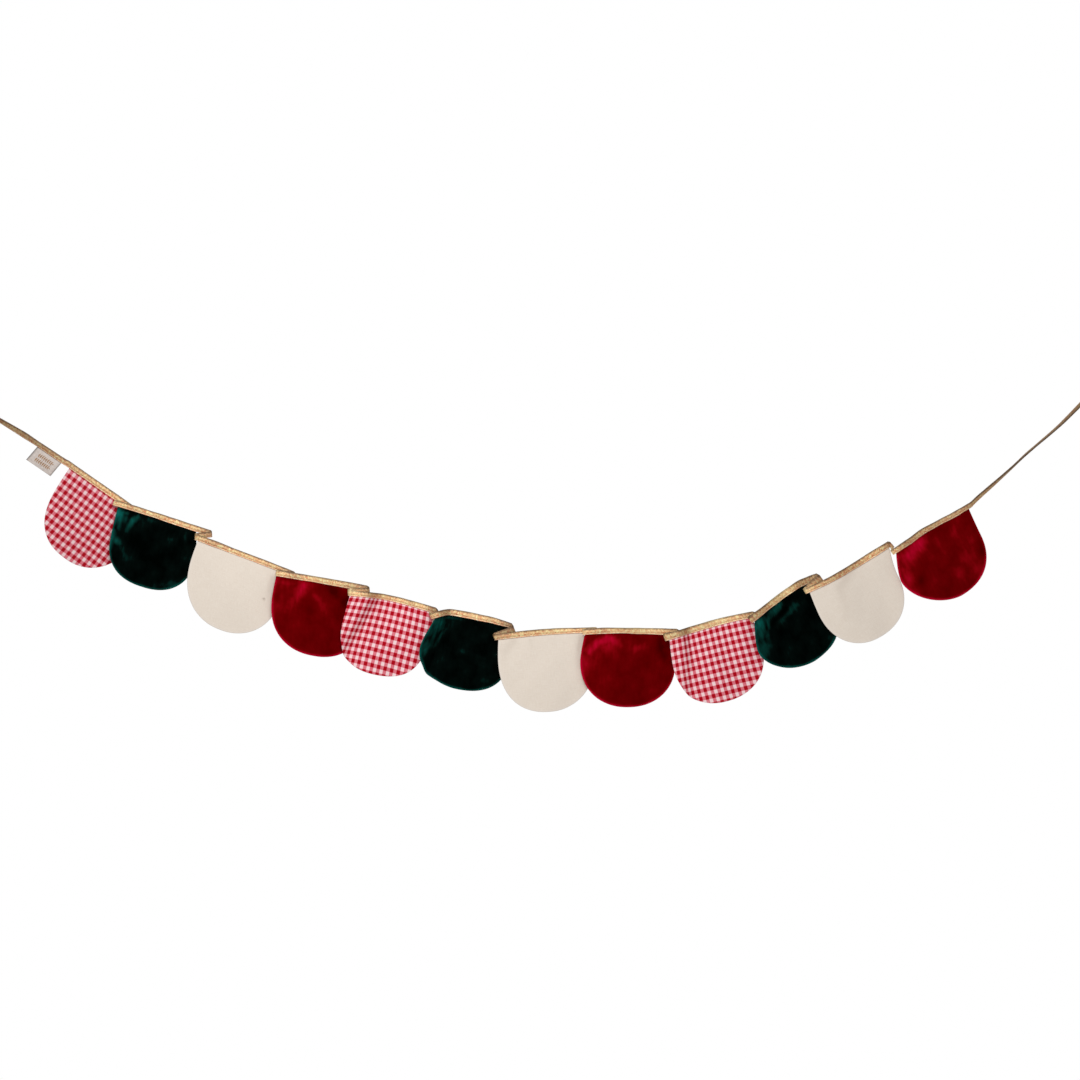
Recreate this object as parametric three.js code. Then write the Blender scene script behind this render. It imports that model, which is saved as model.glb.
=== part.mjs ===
// Velvet garland: twelve scallop flags sewn into one folded gold binding tape, with a small satin label.
//
// Millimetres. +X runs along the garland to the right, +Z is up and -Y is the front. The origin is the left
// end of the tape, where the garland is hung. Each flag lies in front of the one to its left, and between
// two flags the bare tape makes a Z-fold: it passes the flag's corner, turns back in front of itself,
// and turns forward again where the next flag starts.

import * as THREE from 'three';

const FRONT = new THREE.Vector3(0, -1, 0);
const BACK = new THREE.Vector3(0, 1, 0);

// ---------------------------------------------------------------- driving sizes

const CLEARANCE = 0.3;        // left between two pieces that meet

const TAPE = {
  ply: 0.8,                   // one thickness of the lurex tape
  slit: 0.4,                  // between its two plies where nothing is sewn in
  topShare: 0.72,             // the rolled top edge is this much as thick as the lower edges
  turnSteps: 4,               // straight pieces in each half turn of a Z-fold
};

const FLAG = {
  top: 118,                   // width where the flag leaves the binding
  wide: 129.5,                // widest
  wideAt: 37,                 // depth of the widest line below the binding
  spread: 1.5,                // how quickly the sides run out to it: 1 is straight
  squareness: 2.2,            // of the curve below it: 2 is a plain half ellipse
  sewnIn: 1.2,                // thickness of the pressed edge inside the binding
  rim: 1.1,                   // thickness of the turned edge all round
  columns: 10,
  rows: 8,
};

const LABEL = { drop: 24, thick: 0.8, lean: -0.12, rows: 3 };

// thick is both plies of a flag together, turned and pressed.
const CLOTHS = {
  gingham: { thick: 1.6, color: 0xc96478, roughness: 0.85 },
  green_velvet: { thick: 2.4, color: 0x01180f, roughness: 0.95 },
  cream_cotton: { thick: 1.8, color: 0xe3d8cb, roughness: 0.9 },
  red_velvet: { thick: 2.4, color: 0x6e0000, roughness: 0.95 },
};

const table = (columns, rows) =>
  rows.map((row) => Object.fromEntries(columns.map((name, i) => [name, row[i]])));

// One run of binding and its flag in each row, from left to right.
// x, z: the run's middle line at its left fold. toX, toZ: the same at its right fold.
// tall: height of the folded tape. lead: bare tape before the flag starts.
// bow: how far the run arches up between its ends, most at bowAt.
// loop: depth between the layers of the Z-fold on the run's left.
const RUNS = table(
  ['cloth', 'x', 'z', 'toX', 'toZ', 'tall', 'lead', 'bow', 'bowAt', 'loop'],
  [
    ['gingham', 111, -71.8, 220, -147.5, 7.6, 9, 0, 0.5, 0],
    ['green_velvet', 178, -128, 310.5, -168.5, 9.2, 7, 0.5, 0.5, 4],
    ['cream_cotton', 292.5, -174.5, 427, -225.5, 7.6, 4.5, 1, 0.5, 4],
    ['red_velvet', 406, -224.5, 531, -246.5, 8.6, 2, 0.5, 0.5, 4],
    ['gingham', 508.5, -252, 627, -277, 8, 2.5, 4, 0.42, 7.5],
    ['green_velvet', 623.5, -283.5, 734.5, -300, 7.6, 2.5, 8, 0.26, 7.5],
    ['cream_cotton', 712, -313.5, 851, -303.5, 8.2, 4, 2, 0.5, 6],
    ['red_velvet', 835, -306.8, 964, -308, 8.2, 1.5, 1.5, 0.4, 4],
    ['gingham', 951, -314.5, 1071, -282.5, 9.6, 6, 2, 0.6, 7],
    ['green_velvet', 1070, -288, 1162.5, -231.5, 9.8, 3.5, 6.5, 0.62, 7],
    ['cream_cotton', 1146.5, -249, 1263.5, -185.5, 7.2, 3.5, -3, 0.35, 6],
    ['red_velvet', 1265, -196, 1377, -128.5, 7.8, 4.5, 1, 0.5, 4],
  ],
);

// How each flag hangs from its run, in the same order.
// drop: depth below the binding. lean: sideways shift to the right for each millimetre down.
// step: how far the cloth steps back behind its left edge, between stepFrom and stepTo along the run.
// hollow: how far the middle of the run sinks back. billow: how far the middle of the flag swells forward.
// curl: how far the hem swings back.
const HANGS = table(
  ['drop', 'lean', 'step', 'stepFrom', 'stepTo', 'hollow', 'billow', 'curl'],
  [
    [105, 0.08, 0, 0.2, 0.5, 0, 3, 1],
    [96, 0.09, 3, 0.35, 0.55, 0, 3, -1.5],
    [106, 0.16, 0, 0.2, 0.5, 2, 2, 1.5],
    [102, 0.11, 0, 0.2, 0.5, 0, 4, 0],
    [103.5, 0, 19, 0.19, 0.36, 0, 2, 0],
    [99.5, -0.06, 21, 0.05, 0.22, 0, 2, 1],
    [106, 0.07, 2, 0.2, 0.4, 0, 2, 0],
    [102, 0.02, 0, 0.2, 0.5, 0, 4, 1],
    [104, -0.02, 14, 0.13, 0.28, 0, 3, 0],
    [91, -0.13, 8, 0.05, 0.3, 23, 0, 1],
    [102, -0.02, 2, 0.2, 0.5, 0, 2, -1],
    [95, -0.08, 0, 0.2, 0.5, 8, 3, 2],
  ],
);

// The bare ends of the tape: middle line, height, and how far the tape is rolled about its own length.
const LEFT_TAIL = table(
  ['x', 'z', 'tall', 'roll', 'holdsLabel'],
  [
    [0, 0, 8.4, 50, false],
    [17, -10.5, 8.4, 44, false],
    [36, -22.3, 8.4, 32, false],
    [53, -32.8, 8, 16, false],
    [71, -44.6, 7.4, 4, true],
    [105, -67.8, 7.4, 0, true],
  ],
);
const RIGHT_TAIL = table(
  ['x', 'z', 'tall', 'roll'],
  [
    [1387, -119.8, 6.8, 38],
    [1399, -108.6, 7, 60],
    [1414.5, -93.8, 7.8, 74],
    [1436, -73.6, 8, 90],
    [1452, -58.8, 8, 100],
    [1468, -44.6, 8, 108],
    [1489.5, -25.8, 8, 118],
    [1505.5, -11, 8, 124],
    [1529, 12.6, 8, 130],
    [1545.5, 29.5, 8, 132],
  ],
);

// ---------------------------------------------------------------- the line of each run

const mix = THREE.MathUtils.lerp;
const smooth = THREE.MathUtils.smoothstep;

// An arch over 0..1 with its top, 1, at peak.
function arch(t, peak) {
  const quarter = Math.PI / 2;
  return t < peak ? Math.sin(quarter * t / peak) : Math.cos(quarter * (t - peak) / (1 - peak));
}

// Depth of a run at t: from the front layer of its left fold to the back layer of its right fold.
function runDepth(run, t, ease) {
  const across = smooth(t, 0.28, 0.72);
  const step = smooth(t, run.stepFrom, run.stepTo) - smooth(t, run.stepTo, 0.9);
  const inside = THREE.MathUtils.clamp(t, 0, 1);
  const hollow = Math.sin(Math.PI * inside) ** 2;
  return mix(-run.loop, run.nextLoop, across) + ease * (run.step * step + run.hollow * hollow);
}

// The run's middle line, measured by its own length from its left fold. It goes on straight past both folds.
// ease is 1 at the binding and less lower down, where the cloth hangs out flatter.
function runLine(run, ease) {
  const samples = 160;
  const points = [];
  const lengths = [];
  for (let i = 0; i <= samples; i += 1) {
    const t = mix(-0.15, 1.15, i / samples);
    const x = mix(run.x, run.toX, t);
    const z = mix(run.z, run.toZ, t) + run.bow * ease * arch(t, run.bowAt);
    points.push(new THREE.Vector3(x, runDepth(run, t, ease), z));
    lengths.push(i === 0 ? 0 : lengths[i - 1] + points[i].distanceTo(points[i - 1]));
  }
  const startIndex = Math.round(samples * 0.15 / 1.3);
  const startLength = lengths[startIndex];
  const at = (length) => {
    const target = length + startLength;
    const found = lengths.findIndex((value) => value > target);
    const high = found < 1 ? (found === 0 ? 1 : samples) : found;
    const share = (target - lengths[high - 1]) / (lengths[high] - lengths[high - 1]);
    const along = new THREE.Vector3().subVectors(points[high], points[high - 1]).normalize();
    return {
      point: new THREE.Vector3().lerpVectors(points[high - 1], points[high], share),
      along,
      up: new THREE.Vector3(-along.z, 0, along.x).normalize(),
    };
  };
  const endIndex = Math.round(samples * 1.15 / 1.3);
  return { at, length: lengths[endIndex] - startLength };
}

const runs = RUNS.map((row, i) => ({
  ...row,
  ...HANGS[i],
  nextLoop: i + 1 < RUNS.length ? RUNS[i + 1].loop : 0,
  name: `flag_${String(i + 1).padStart(2, '0')}_${row.cloth}`,
}));
for (const run of runs) {
  run.line = runLine(run, 1);
  run.middle = run.lead + FLAG.top / 2;
}

// ---------------------------------------------------------------- the binding tape

const flagSlot = FLAG.sewnIn + 2 * CLEARANCE;
const labelSlot = LABEL.thick + 2 * CLEARANCE;

const station = (point, along, up, tall, slot) => ({ point, along, up, tall, slot });

function runStation(run, length, slot) {
  const { point, along, up } = run.line.at(length);
  return station(point, along, up, run.tall, slot);
}

// Stations across a flag's top edge stand at the flag's own columns, so cloth and tape keep their gap.
function stationsOfRun(run) {
  const list = [runStation(run, 0, TAPE.slit)];
  run.topStations = [];
  for (let column = 0; column <= FLAG.columns; column += 1) {
    const across = FLAG.top * column / FLAG.columns;
    run.topStations.push(runStation(run, run.lead + across, flagSlot));
  }
  list.push(...run.topStations);
  list.push(runStation(run, run.line.length, TAPE.slit));
  return list;
}

// A half turn of the tape over an upright fold line, starting at from and turning towards side.
function halfTurn(from, heading, returning, radius, side) {
  const foldLine = new THREE.Vector3().subVectors(heading, returning);
  foldLine.set(-foldLine.z, 0, foldLine.x).normalize();
  const outward = heading.clone().addScaledVector(foldLine, -heading.dot(foldLine)).normalize();
  const climb = heading.dot(foldLine) / heading.dot(outward);
  const turned = (vector, angle) => {
    const swept = outward.clone().multiplyScalar(Math.cos(angle)).addScaledVector(side, Math.sin(angle));
    return foldLine.clone().multiplyScalar(vector.dot(foldLine)).addScaledVector(swept, vector.dot(outward));
  };
  const list = [];
  for (let step = 1; step <= TAPE.turnSteps; step += 1) {
    const angle = Math.PI * step / TAPE.turnSteps;
    const point = from.point.clone()
      .addScaledVector(outward, radius * Math.sin(angle))
      .addScaledVector(side, radius * (1 - Math.cos(angle)))
      .addScaledVector(foldLine, climb * radius * angle);
    list.push(station(point, turned(heading, angle), turned(from.up, angle), from.tall, TAPE.slit));
  }
  return list;
}

const flat = (vector) => new THREE.Vector3(vector.x, 0, vector.z).normalize();

// The Z-fold between the end of one run and the start of the next.
function zFold(end, start, loop) {
  const back = flat(new THREE.Vector3().subVectors(start.point, end.point));
  back.x = Math.min(back.x, -Math.abs(back.z));
  back.normalize();
  const first = halfTurn(end, flat(end.along), back, loop / 2, FRONT);
  const ahead = flat(start.along).negate();
  const second = halfTurn(start, ahead, back.clone().negate(), loop / 2, BACK);
  for (const item of second) {
    item.along.negate();
  }
  return [...first, ...second.reverse()];
}

function tailStations(rows, before, after) {
  const list = rows.map((row) => {
    const slot = row.holdsLabel ? labelSlot : TAPE.slit;
    const item = station(new THREE.Vector3(row.x, 0, row.z), null, null, row.tall, slot);
    item.roll = THREE.MathUtils.degToRad(row.roll);
    return item;
  });
  list.forEach((item, i) => {
    const previous = list[i - 1] ?? before ?? item;
    const next = list[i + 1] ?? after ?? item;
    item.along = new THREE.Vector3().subVectors(next.point, previous.point).normalize();
    item.up = new THREE.Vector3(-item.along.z, 0, item.along.x).applyAxisAngle(item.along, item.roll);
  });
  return list;
}

const runStations = runs.map(stationsOfRun);
const leftTail = tailStations(LEFT_TAIL, null, runStations[0][0]);
const rightTail = tailStations(RIGHT_TAIL, runStations.at(-1).at(-1), null);

const tapeStations = [...leftTail];
runs.forEach((run, i) => {
  if (i > 0) {
    tapeStations.push(...zFold(runStations[i - 1].at(-1), runStations[i][0], run.loop));
  }
  tapeStations.push(...runStations[i]);
});
tapeStations.push(...rightTail);

for (const item of tapeStations) {
  item.face = new THREE.Vector3().crossVectors(item.along, item.up).normalize();
}

// The folded tape's section: two plies joined along the top, open along the bottom.
function tapeSection(item) {
  const half = item.slot / 2;
  const outer = half + TAPE.ply;
  const low = -item.tall / 2;
  const high = item.tall / 2;
  return [
    [-outer, low],
    [-outer * TAPE.topShare, high],
    [outer * TAPE.topShare, high],
    [outer, low],
    [half, low],
    [half, high - TAPE.ply],
    [-half, high - TAPE.ply],
    [-half, low],
  ];
}

function buildGeometry(points, faces) {
  const geometry = new THREE.BufferGeometry();
  const positions = points.flatMap((point) => point.toArray());
  geometry.setAttribute('position', new THREE.Float32BufferAttribute(positions, 3));
  geometry.setIndex(faces.flat());
  geometry.computeVertexNormals();
  return geometry;
}

const quad = (a, b, c, d) => [[a, b, c], [a, c, d]];

function tapeGeometry() {
  const points = [];
  const faces = [];
  const corners = tapeSection(tapeStations[0]).length;
  for (const item of tapeStations) {
    for (const [through, height] of tapeSection(item)) {
      points.push(item.point.clone().addScaledVector(item.face, through).addScaledVector(item.up, height));
    }
  }
  for (let i = 0; i + 1 < tapeStations.length; i += 1) {
    for (let corner = 0; corner < corners; corner += 1) {
      const next = (corner + 1) % corners;
      const here = i * corners;
      const there = here + corners;
      faces.push(...quad(here + corner, here + next, there + next, there + corner));
    }
  }
  const capQuads = [[0, 1, 6, 7], [1, 2, 5, 6], [2, 3, 4, 5]];
  const last = (tapeStations.length - 1) * corners;
  for (const [a, b, c, d] of capQuads) {
    faces.push(...quad(d, c, b, a));
    faces.push(...quad(last + a, last + b, last + c, last + d));
  }
  return buildGeometry(points, faces);
}

// ---------------------------------------------------------------- sheets of cloth

// A closed sheet from a grid of { point, face, thick }: its front and back, joined round the edge.
function sheetGeometry(grid) {
  const rowCount = grid.length;
  const columnCount = grid[0].length;
  const points = [];
  const faces = [];
  const index = (row, column, side) => 2 * (row * columnCount + column) + side;
  for (const row of grid) {
    for (const { point, face, thick } of row) {
      points.push(point.clone().addScaledVector(face, thick / 2));
      points.push(point.clone().addScaledVector(face, -thick / 2));
    }
  }
  for (let r = 0; r + 1 < rowCount; r += 1) {
    for (let c = 0; c + 1 < columnCount; c += 1) {
      faces.push(...quad(index(r + 1, c, 0), index(r + 1, c + 1, 0), index(r, c + 1, 0), index(r, c, 0)));
      faces.push(...quad(index(r, c, 1), index(r, c + 1, 1), index(r + 1, c + 1, 1), index(r + 1, c, 1)));
    }
  }
  const edge = [];
  for (let c = 0; c + 1 < columnCount; c += 1) {
    edge.push([0, c]);
  }
  for (let r = 0; r + 1 < rowCount; r += 1) {
    edge.push([r, columnCount - 1]);
  }
  for (let c = columnCount - 1; c > 0; c -= 1) {
    edge.push([rowCount - 1, c]);
  }
  for (let r = rowCount - 1; r > 0; r -= 1) {
    edge.push([r, 0]);
  }
  edge.forEach(([r, c], i) => {
    const [nextR, nextC] = edge[(i + 1) % edge.length];
    faces.push(...quad(index(r, c, 0), index(nextR, nextC, 0), index(nextR, nextC, 1), index(r, c, 1)));
  });
  return buildGeometry(points, faces);
}

// The flat cut of a flag, in u across and v down from the binding. The sides run out to the widest line
// and the bottom is a half ellipse with fuller corners; the grid's left, bottom and right edges share
// that outline.
const sideTurn = Math.PI / 4;

function cutSide(share) {
  const half = FLAG.wide / 2;
  const straight = FLAG.wideAt;
  const run = share * (straight + half * sideTurn);
  if (run < straight) {
    const narrowing = (FLAG.wide - FLAG.top) / 2 * (1 - run / straight) ** FLAG.spread;
    return { turn: 0, half: half - narrowing, v: run };
  }
  return { turn: (run - straight) / half, half, v: straight };
}

function cutPoint(drop, across, down) {
  const below = drop - FLAG.wideAt;
  const fuller = (value) => Math.sign(value) * Math.abs(value) ** (2 / FLAG.squareness);
  const ellipse = (turn, half) => [
    half * fuller(Math.cos(turn)),
    FLAG.wideAt + below * fuller(Math.sin(turn)),
  ];
  const side = cutSide(down);
  const [sideU, sideV] = side.turn > 0 ? ellipse(side.turn, side.half) : [side.half, side.v];
  const [bottomU, bottomV] = ellipse(mix(Math.PI - sideTurn, sideTurn, across), FLAG.wide / 2);
  const [cornerU, cornerV] = ellipse(sideTurn, FLAG.wide / 2);
  const spread = 2 * across - 1;
  const u = mix(FLAG.top / 2 * spread, bottomU, down) + spread * sideU
    - spread * mix(FLAG.top / 2, cornerU, down);
  const v = mix(0, bottomV, down) + sideV - mix(0, cornerV, down);
  return { u, v };
}

// Where the point u, v of a flag's cut hangs.
function hang(run, relaxed, u, v) {
  const chord = flat(new THREE.Vector3(run.toX - run.x, 0, run.toZ - run.z));
  const plumb = new THREE.Vector3(chord.z, 0, -chord.x).addScaledVector(chord, run.lean).normalize();
  const high = run.line.at(run.middle + u);
  const low = relaxed.at(relaxed.middle + u);
  const share = v / run.drop;
  const top = high.point.clone().addScaledVector(high.up, -run.tall / 2);
  const bottom = low.point.clone().addScaledVector(plumb, run.tall / 2);
  const acrossSwell = Math.cos(Math.PI * THREE.MathUtils.clamp(u / FLAG.wide, -0.5, 0.5));
  const swell = acrossSwell * Math.sin(Math.PI * share);
  return top.lerp(bottom, share)
    .addScaledVector(plumb, v)
    .addScaledVector(FRONT, run.billow * swell)
    .addScaledVector(BACK, run.curl * share ** 2);
}

const FLATTER_BELOW = 0.6;    // what is left of a run's steps and arch at the hem

function flagGeometry(run) {
  const thick = CLOTHS[run.cloth].thick;
  const relaxed = runLine(run, FLATTER_BELOW);
  relaxed.middle = run.middle * relaxed.length / run.line.length;
  const slotDepth = run.tall - TAPE.ply - 3 * CLEARANCE;
  const sewnRows = [slotDepth, 0].map((inside) => run.topStations.map(({ point, up, face }) => ({
    point: point.clone().addScaledVector(up, inside - run.tall / 2),
    face,
    thick: FLAG.sewnIn,
  })));
  const faceAt = (u, v) => {
    const reach = 1;
    const du = hang(run, relaxed, u + reach, v).sub(hang(run, relaxed, u - reach, v));
    const dv = hang(run, relaxed, u, v + reach).sub(hang(run, relaxed, u, v - reach));
    return dv.cross(du).normalize();
  };
  const hanging = [];
  for (let r = 1; r <= FLAG.rows; r += 1) {
    const row = [];
    for (let c = 0; c <= FLAG.columns; c += 1) {
      const { u, v } = cutPoint(run.drop, c / FLAG.columns, r / FLAG.rows);
      const onRim = c === 0 || c === FLAG.columns || r === FLAG.rows;
      row.push({
        point: hang(run, relaxed, u, v),
        face: faceAt(u, v),
        thick: onRim ? FLAG.rim : thick,
      });
    }
    hanging.push(row);
  }
  return sheetGeometry([...sewnRows, ...hanging]);
}

// The label's top is sewn into the left tail between the two stations that hold it.
function labelGeometry() {
  const held = leftTail.filter((item) => item.slot === labelSlot);
  const along = flat(new THREE.Vector3().subVectors(held[1].point, held[0].point));
  const down = new THREE.Vector3(along.z, 0, -along.x).addScaledVector(along, LABEL.lean).normalize();
  const sewnDepth = held[0].tall - TAPE.ply - 3 * CLEARANCE;
  const rows = [];
  for (const inside of [sewnDepth, 0]) {
    rows.push(held.map(({ point, up, face, tall }) => ({
      point: point.clone().addScaledVector(up, inside - tall / 2),
      face,
      thick: LABEL.thick,
    })));
  }
  for (let r = 1; r <= LABEL.rows; r += 1) {
    const drop = LABEL.drop * r / LABEL.rows;
    rows.push(rows[1].map(({ point, face, thick }) => ({
      point: point.clone().addScaledVector(down, drop).addScaledVector(BACK, 0.002 * drop ** 2),
      face,
      thick,
    })));
  }
  return sheetGeometry(rows);
}

// ---------------------------------------------------------------- the garland

const group = new THREE.Group();

function addPiece(name, geometry, material) {
  const mesh = new THREE.Mesh(geometry, material);
  mesh.name = name;
  group.add(mesh);
}

const goldLurex = new THREE.MeshStandardMaterial({ color: 0xc99a58, roughness: 0.45, metalness: 0.7 });
const satin = new THREE.MeshStandardMaterial({ color: 0xd8cfcb, roughness: 0.5 });

addPiece('binding_tape', tapeGeometry(), goldLurex);
addPiece('label', labelGeometry(), satin);
for (const run of runs) {
  const { color, roughness } = CLOTHS[run.cloth];
  addPiece(run.name, flagGeometry(run), new THREE.MeshStandardMaterial({ color, roughness }));
}

export default group;
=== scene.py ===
"""Velvet garland: scallop flags in gingham, velvet and plain cotton, sewn into one folded gold tape.

Metres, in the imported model's frame: +X runs along the garland, +Z is up and -Y is the front. The runs
and how the flags hang from them follow the part's own tables, in millimetres, so the fine cloth lies in
its solids' places. Each flag's own cut, and the unevenness of the sewing, are only here.
"""

import math
from functools import partial
from types import SimpleNamespace as Named

import bpy
import numpy as np
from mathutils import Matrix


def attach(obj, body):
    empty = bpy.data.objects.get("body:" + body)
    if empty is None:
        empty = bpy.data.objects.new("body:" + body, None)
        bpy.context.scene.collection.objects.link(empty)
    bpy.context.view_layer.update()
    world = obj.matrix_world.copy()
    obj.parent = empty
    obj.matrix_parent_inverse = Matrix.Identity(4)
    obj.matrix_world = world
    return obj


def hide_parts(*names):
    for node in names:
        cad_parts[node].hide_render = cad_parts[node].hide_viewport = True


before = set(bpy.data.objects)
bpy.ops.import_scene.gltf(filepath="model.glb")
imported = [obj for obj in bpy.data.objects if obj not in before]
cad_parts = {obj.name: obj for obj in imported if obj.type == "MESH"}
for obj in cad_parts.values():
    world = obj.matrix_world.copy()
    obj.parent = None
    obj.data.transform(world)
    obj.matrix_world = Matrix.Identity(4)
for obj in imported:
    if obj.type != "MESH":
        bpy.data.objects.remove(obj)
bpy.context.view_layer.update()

scene = bpy.context.scene
MM = 0.001

# ---- driving sizes, in millimetres

CLEARANCE = 0.3  # between two pieces that meet

TAPE = Named(
    wide=18.5,  # before it is folded over
    ply=0.8,  # one thickness of the metallic tape
    slit=0.4,  # between its plies where nothing is sewn in
    top_share=0.72,  # the rolled top edge against the lower edges
    step=1.6,  # length of one facet
    turn_steps=16,  # facets in a half turn
    link_steps=7,  # stations between a Z-fold's two half turns
    turned_new=0.3,  # how much painted highlight brightens the gold in the second of them
    pressed=0.26,  # how far the seam draws the lower edges in
    easing=0.1,  # room in the slot beyond the clearance
    tail_steps=10,  # facets between two rows of a tail's table
    waver=0.16,  # how much its height differs from place to place
    waver_pitch=9,  # the length over which it does
)

FLAG = Named(
    top=118.0,  # width of the pattern where the flag leaves the binding
    wide=129.5,  # its widest
    wide_at=37.0,  # depth of the widest line below the binding
    spread=1.5,  # how quickly the sides run out to it
    sewn_in=1.1,  # thickness of the pressed edge inside the binding
    seam_in=3.4,  # from the turned edge to the ridge of the seam allowance inside
    seam_wide=2.2,  # half the width of that ridge
    rim_wide=2.6,  # of the band along the edge where a highlight is painted
    columns=89,  # of the mesh, from side to side
    columns_crowd=1.5,  # how much closer they lie at the sides
    rows=(5, 34, 60),  # inside the binding, down to the widest line, and from there to the hem
    rows_crowd=0.9,  # how much closer the last ones lie at the hem
    rows_turn=88.6,  # degrees of the round that they cover, just short of its tip
    first_row=1.2,  # from the tape's edge to the lowest row inside the binding
    ripple=0.55,  # height of the longest wave in the pressed cloth
    ragged=0.08,  # unevenness of the edges of the painted strokes
)

RUN = Named(
    overrun=0.15,  # of its length, that its line goes on past each fold
    passes=(0.28, 0.72),  # the part of its way in which it passes from front to back
    settled=0.9,  # where on its way a step is over
    levels=11,  # down the flag, at each of which its line is worked out
    flatter_below=0.6,  # what is left of its steps and arch at the hem
)

LABEL = Named(
    drop=24.0,
    thick=0.8,  # what the tape's slot leaves for it
    ribbon=0.75,  # both its layers together
    lean=-0.12,  # sideways shift for each millimetre down
    turned_in=5.0,  # sewn into the tape
    swing=0.6,  # how far its middle swings forward
    twist=0.9,  # how far one lower corner comes forward and the other goes back
    curl=0.002,  # how quickly it bends back towards its hem
    rows=22,  # of the mesh, above its rounded hem
    rounded=0.35,  # how far in from its edges it is rounded
)


def table(text):
    """Rows of words, numbers and lists of numbers, below a row with the names of the columns."""
    def read(cell):
        if cell[0].isalpha():
            return cell
        values = [float(value) for value in cell.split(",")]
        return values if len(values) > 1 else values[0]

    columns, *rows = [line.split() for line in text.strip().split("\n")]
    return [Named(**dict(zip(columns, map(read, row)))) for row in rows]


# Cloths: both plies together, the radius of the turned edge, and the seam allowance's ridge inside it.
CLOTHS = {row.cloth: row for row in table("""
cloth thick edge ridge slot
gingham 1.5 0.7 0.16 gingham_cotton
green_velvet 2.5 1.5 0.3 green_velvet
cream_cotton 1.7 0.8 0.2 cream_cotton
red_velvet 2.5 1.5 0.3 red_velvet
""")}

# One run of binding and its flag in each row, from left to right.
# x z: middle line at its left fold. to_x to_z: at its right fold. tall: height of the folded tape.
# lead: bare tape before the flag. bow: how far the run arches up, most at bow_at.
# loop: depth between the layers of the Z-fold on its left. pinch opened: how much of its height the
# tape's crest loses and its lower edge gains in that fold.
RUNS = table("""
cloth x z to_x to_z tall lead bow bow_at loop pinch opened
gingham 111 -71.8 220 -147.5 7.6 9 0 0.5 0 0 0
green_velvet 178 -128 310.5 -168.5 9.2 7 0.5 0.5 4 0.14 0
cream_cotton 292.5 -174.5 427 -225.5 7.6 4.5 1 0.5 4 0.14 0
red_velvet 406 -224.5 529.5 -246.2 8.6 2 0.5 0.5 4 0.14 0
gingham 508.5 -252 625.5 -276.7 8 2.5 4 0.42 7.5 0.14 0
green_velvet 623.5 -283.5 731.5 -299.5 7.6 2.5 8 0.26 7.5 0.2 0.1
cream_cotton 712 -313.5 851 -303.5 8.2 4 2 0.5 6 0.3 0.5
red_velvet 835 -306.8 964 -308 8.2 1.5 1.5 0.4 4 0.14 0
gingham 951 -314.5 1071 -282.5 9.6 6 2 0.6 7 0.14 0
green_velvet 1070 -288 1162.5 -231.5 9.8 3.5 6.5 0.62 7 0.14 0.1
cream_cotton 1146.5 -249 1263.5 -185.5 7.2 3.5 -3 0.35 6 0.3 0.45
red_velvet 1267.6 -194.4 1374.4 -130 7.8 1.5 1 0.5 4 0.2 0.3
""")

# How each flag hangs from its run, in the same order.
# drop: depth below the binding. lean: sideways shift for each millimetre down.
# step: how far the cloth steps back behind its left edge, between step_from and step_to along the run;
# slant: how far along the run that fold has moved at the hem. hollow: how far the run's middle sinks back.
# billow: how far the flag's middle swells forward. curl: how far the hem swings back.
HANGS = table("""
drop lean step step_from step_to slant hollow billow curl
107 0.087 0 0.2 0.5 0 0 3 1
95.5 0.092 3 0.35 0.55 0 0 3 -1.5
107 0.138 0 0.2 0.5 0 2 2 1.5
102 0.109 0 0.2 0.5 0 0 4 0
103.5 -0.005 19 0.19 0.36 -0.3 0 2 0
98 -0.055 21 0.05 0.22 -0.15 0 2 1
107 0.055 2 0.2 0.4 0 0 2 0
101.5 0.016 0 0.2 0.5 0 0 4 1
104 -0.005 14 0.13 0.28 -0.2 0 3 0
95.5 -0.062 8 0.05 0.3 -0.15 23 0 1
100.5 -0.018 2 0.2 0.5 0 0 2 -1
99 -0.077 0 0.2 0.5 0 8 3 2
""")

# No two flags came out alike when they were sewn, turned and pressed. For each, in the same order:
# left right: how far each side reaches from the middle line at its widest, and the same where it leaves
# the binding. full: squareness of the curve below the widest line, 2 for a plain half ellipse.
CUTS = table("""
top_left left full_left top_right right full_right
62.5 64.5 2.5 59 66 1.95
61 62 2.6 55 61.5 2.15
60.5 64.5 2.3 59 70.5 2
62.5 67 2.35 56 63.5 2.2
63 62.8 2.25 74 66.5 2.4
59.5 71 1.9 59 67.5 2.3
61 65.5 2.35 59 69 2
60.5 66.8 2.2 57 68.3 2.15
63.5 67 2.25 63.5 66.2 2.2
63 75 1.75 56 60 2.25
60.2 63.4 2.2 68.8 61.9 2.25
59 70 1.7 62.5 61 2.3
""")

# How the gingham's checks drift off the straight grain, in millimetres: at the middle of the binding,
# and the change 60 mm to the side (u), 100 mm down (v) and with their squares and product.
CHECKS = table("""
flag over down
1 6.6,-1.55,-7,-1.4,1.6,-4 9.9,1.25,-0.75,0,0.1,1.8
5 10.35,-0.7,-6.25,1.8,4,-0.7 5.75,-0.4,-3.2,-0.5,3.5,2
9 2.15,-1.3,-5.6,1.75,4.35,2.9 5.65,0.7,-2.5,-0.8,1.2,2.2
""")
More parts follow.
